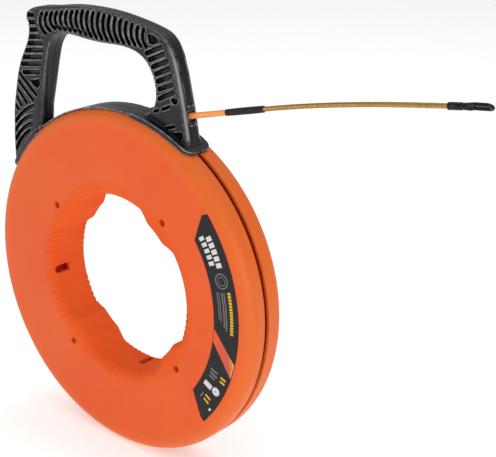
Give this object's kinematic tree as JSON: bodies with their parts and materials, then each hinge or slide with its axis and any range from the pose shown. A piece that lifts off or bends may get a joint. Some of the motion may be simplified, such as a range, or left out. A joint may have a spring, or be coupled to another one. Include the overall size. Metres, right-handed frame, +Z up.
{
  "type": "fish tape reel",
  "caption": "Round hand-held cable-pulling reel: flat ring case that turns inside a ribbed carrying handle, with a stiff tape, flexible leader and pulling eye standing out of the handle.",
  "frame": {"origin": "on the ground under the middle of the upright case, at mid thickness", "axes": "+X the way the tape leaves the handle, +Y from the labelled face to the rear face (the case's axis), +Z up through the handle"},
  "size_m": [0.4881, 0.0416, 0.3847],
  "materials": {
    "orange_case": "satin moulded orange plastic with a fine texture",
    "black_handle": "satin black moulded nylon",
    "shoe_plastic": "smooth black acetal",
    "screw_steel": "zinc-plated steel screws",
    "label_print": "printed charcoal label with an orange stripe",
    "tape_orange": "orange jacketed glass-fibre rod",
    "ferrule_black": "black shrink sleeve",
    "leader_brass": "brass-coloured spiral-wound leader",
    "core_steel": "stranded steel core",
    "eye_black": "black oxide steel",
    "clip_steel": "pressed steel clip"
  },
  "bodies": {
    "handle": {"handle_front_half": "black_handle", "handle_rear_half": "black_handle", "front_guide_shoe": "shoe_plastic", "rear_guide_shoe": "shoe_plastic", "handle_screws": "screw_steel", "exit_bushing": "shoe_plastic"},
    "case": {"case_front_shell": "orange_case", "case_rear_shell": "orange_case", "front_label": "label_print", "case_screws": "screw_steel", "tape_coil": "tape_orange", "tape_anchor_clip": "clip_steel", "tape_anchor_screw": "screw_steel"},
    "tape": {"tape_inside": "tape_orange", "tape_free": "tape_orange", "ferrule": "ferrule_black", "leader_core": "core_steel", "spiral_leader": "leader_brass", "eye_sleeve": "eye_black", "pulling_eye": "eye_black"}
  },
  "joints": [
    {"name": "case_spin", "type": "hinge", "parent": "handle", "child": "case", "pos_m": [0, 0, 0.1524], "axis": [0, 1, 0], "continuous": true},
    {"name": "tape_feed", "type": "slide", "parent": "handle", "child": "tape", "axis": [0.9715, 0, 0.2368], "range_m": [-0.065, 0.06]}
  ]
}
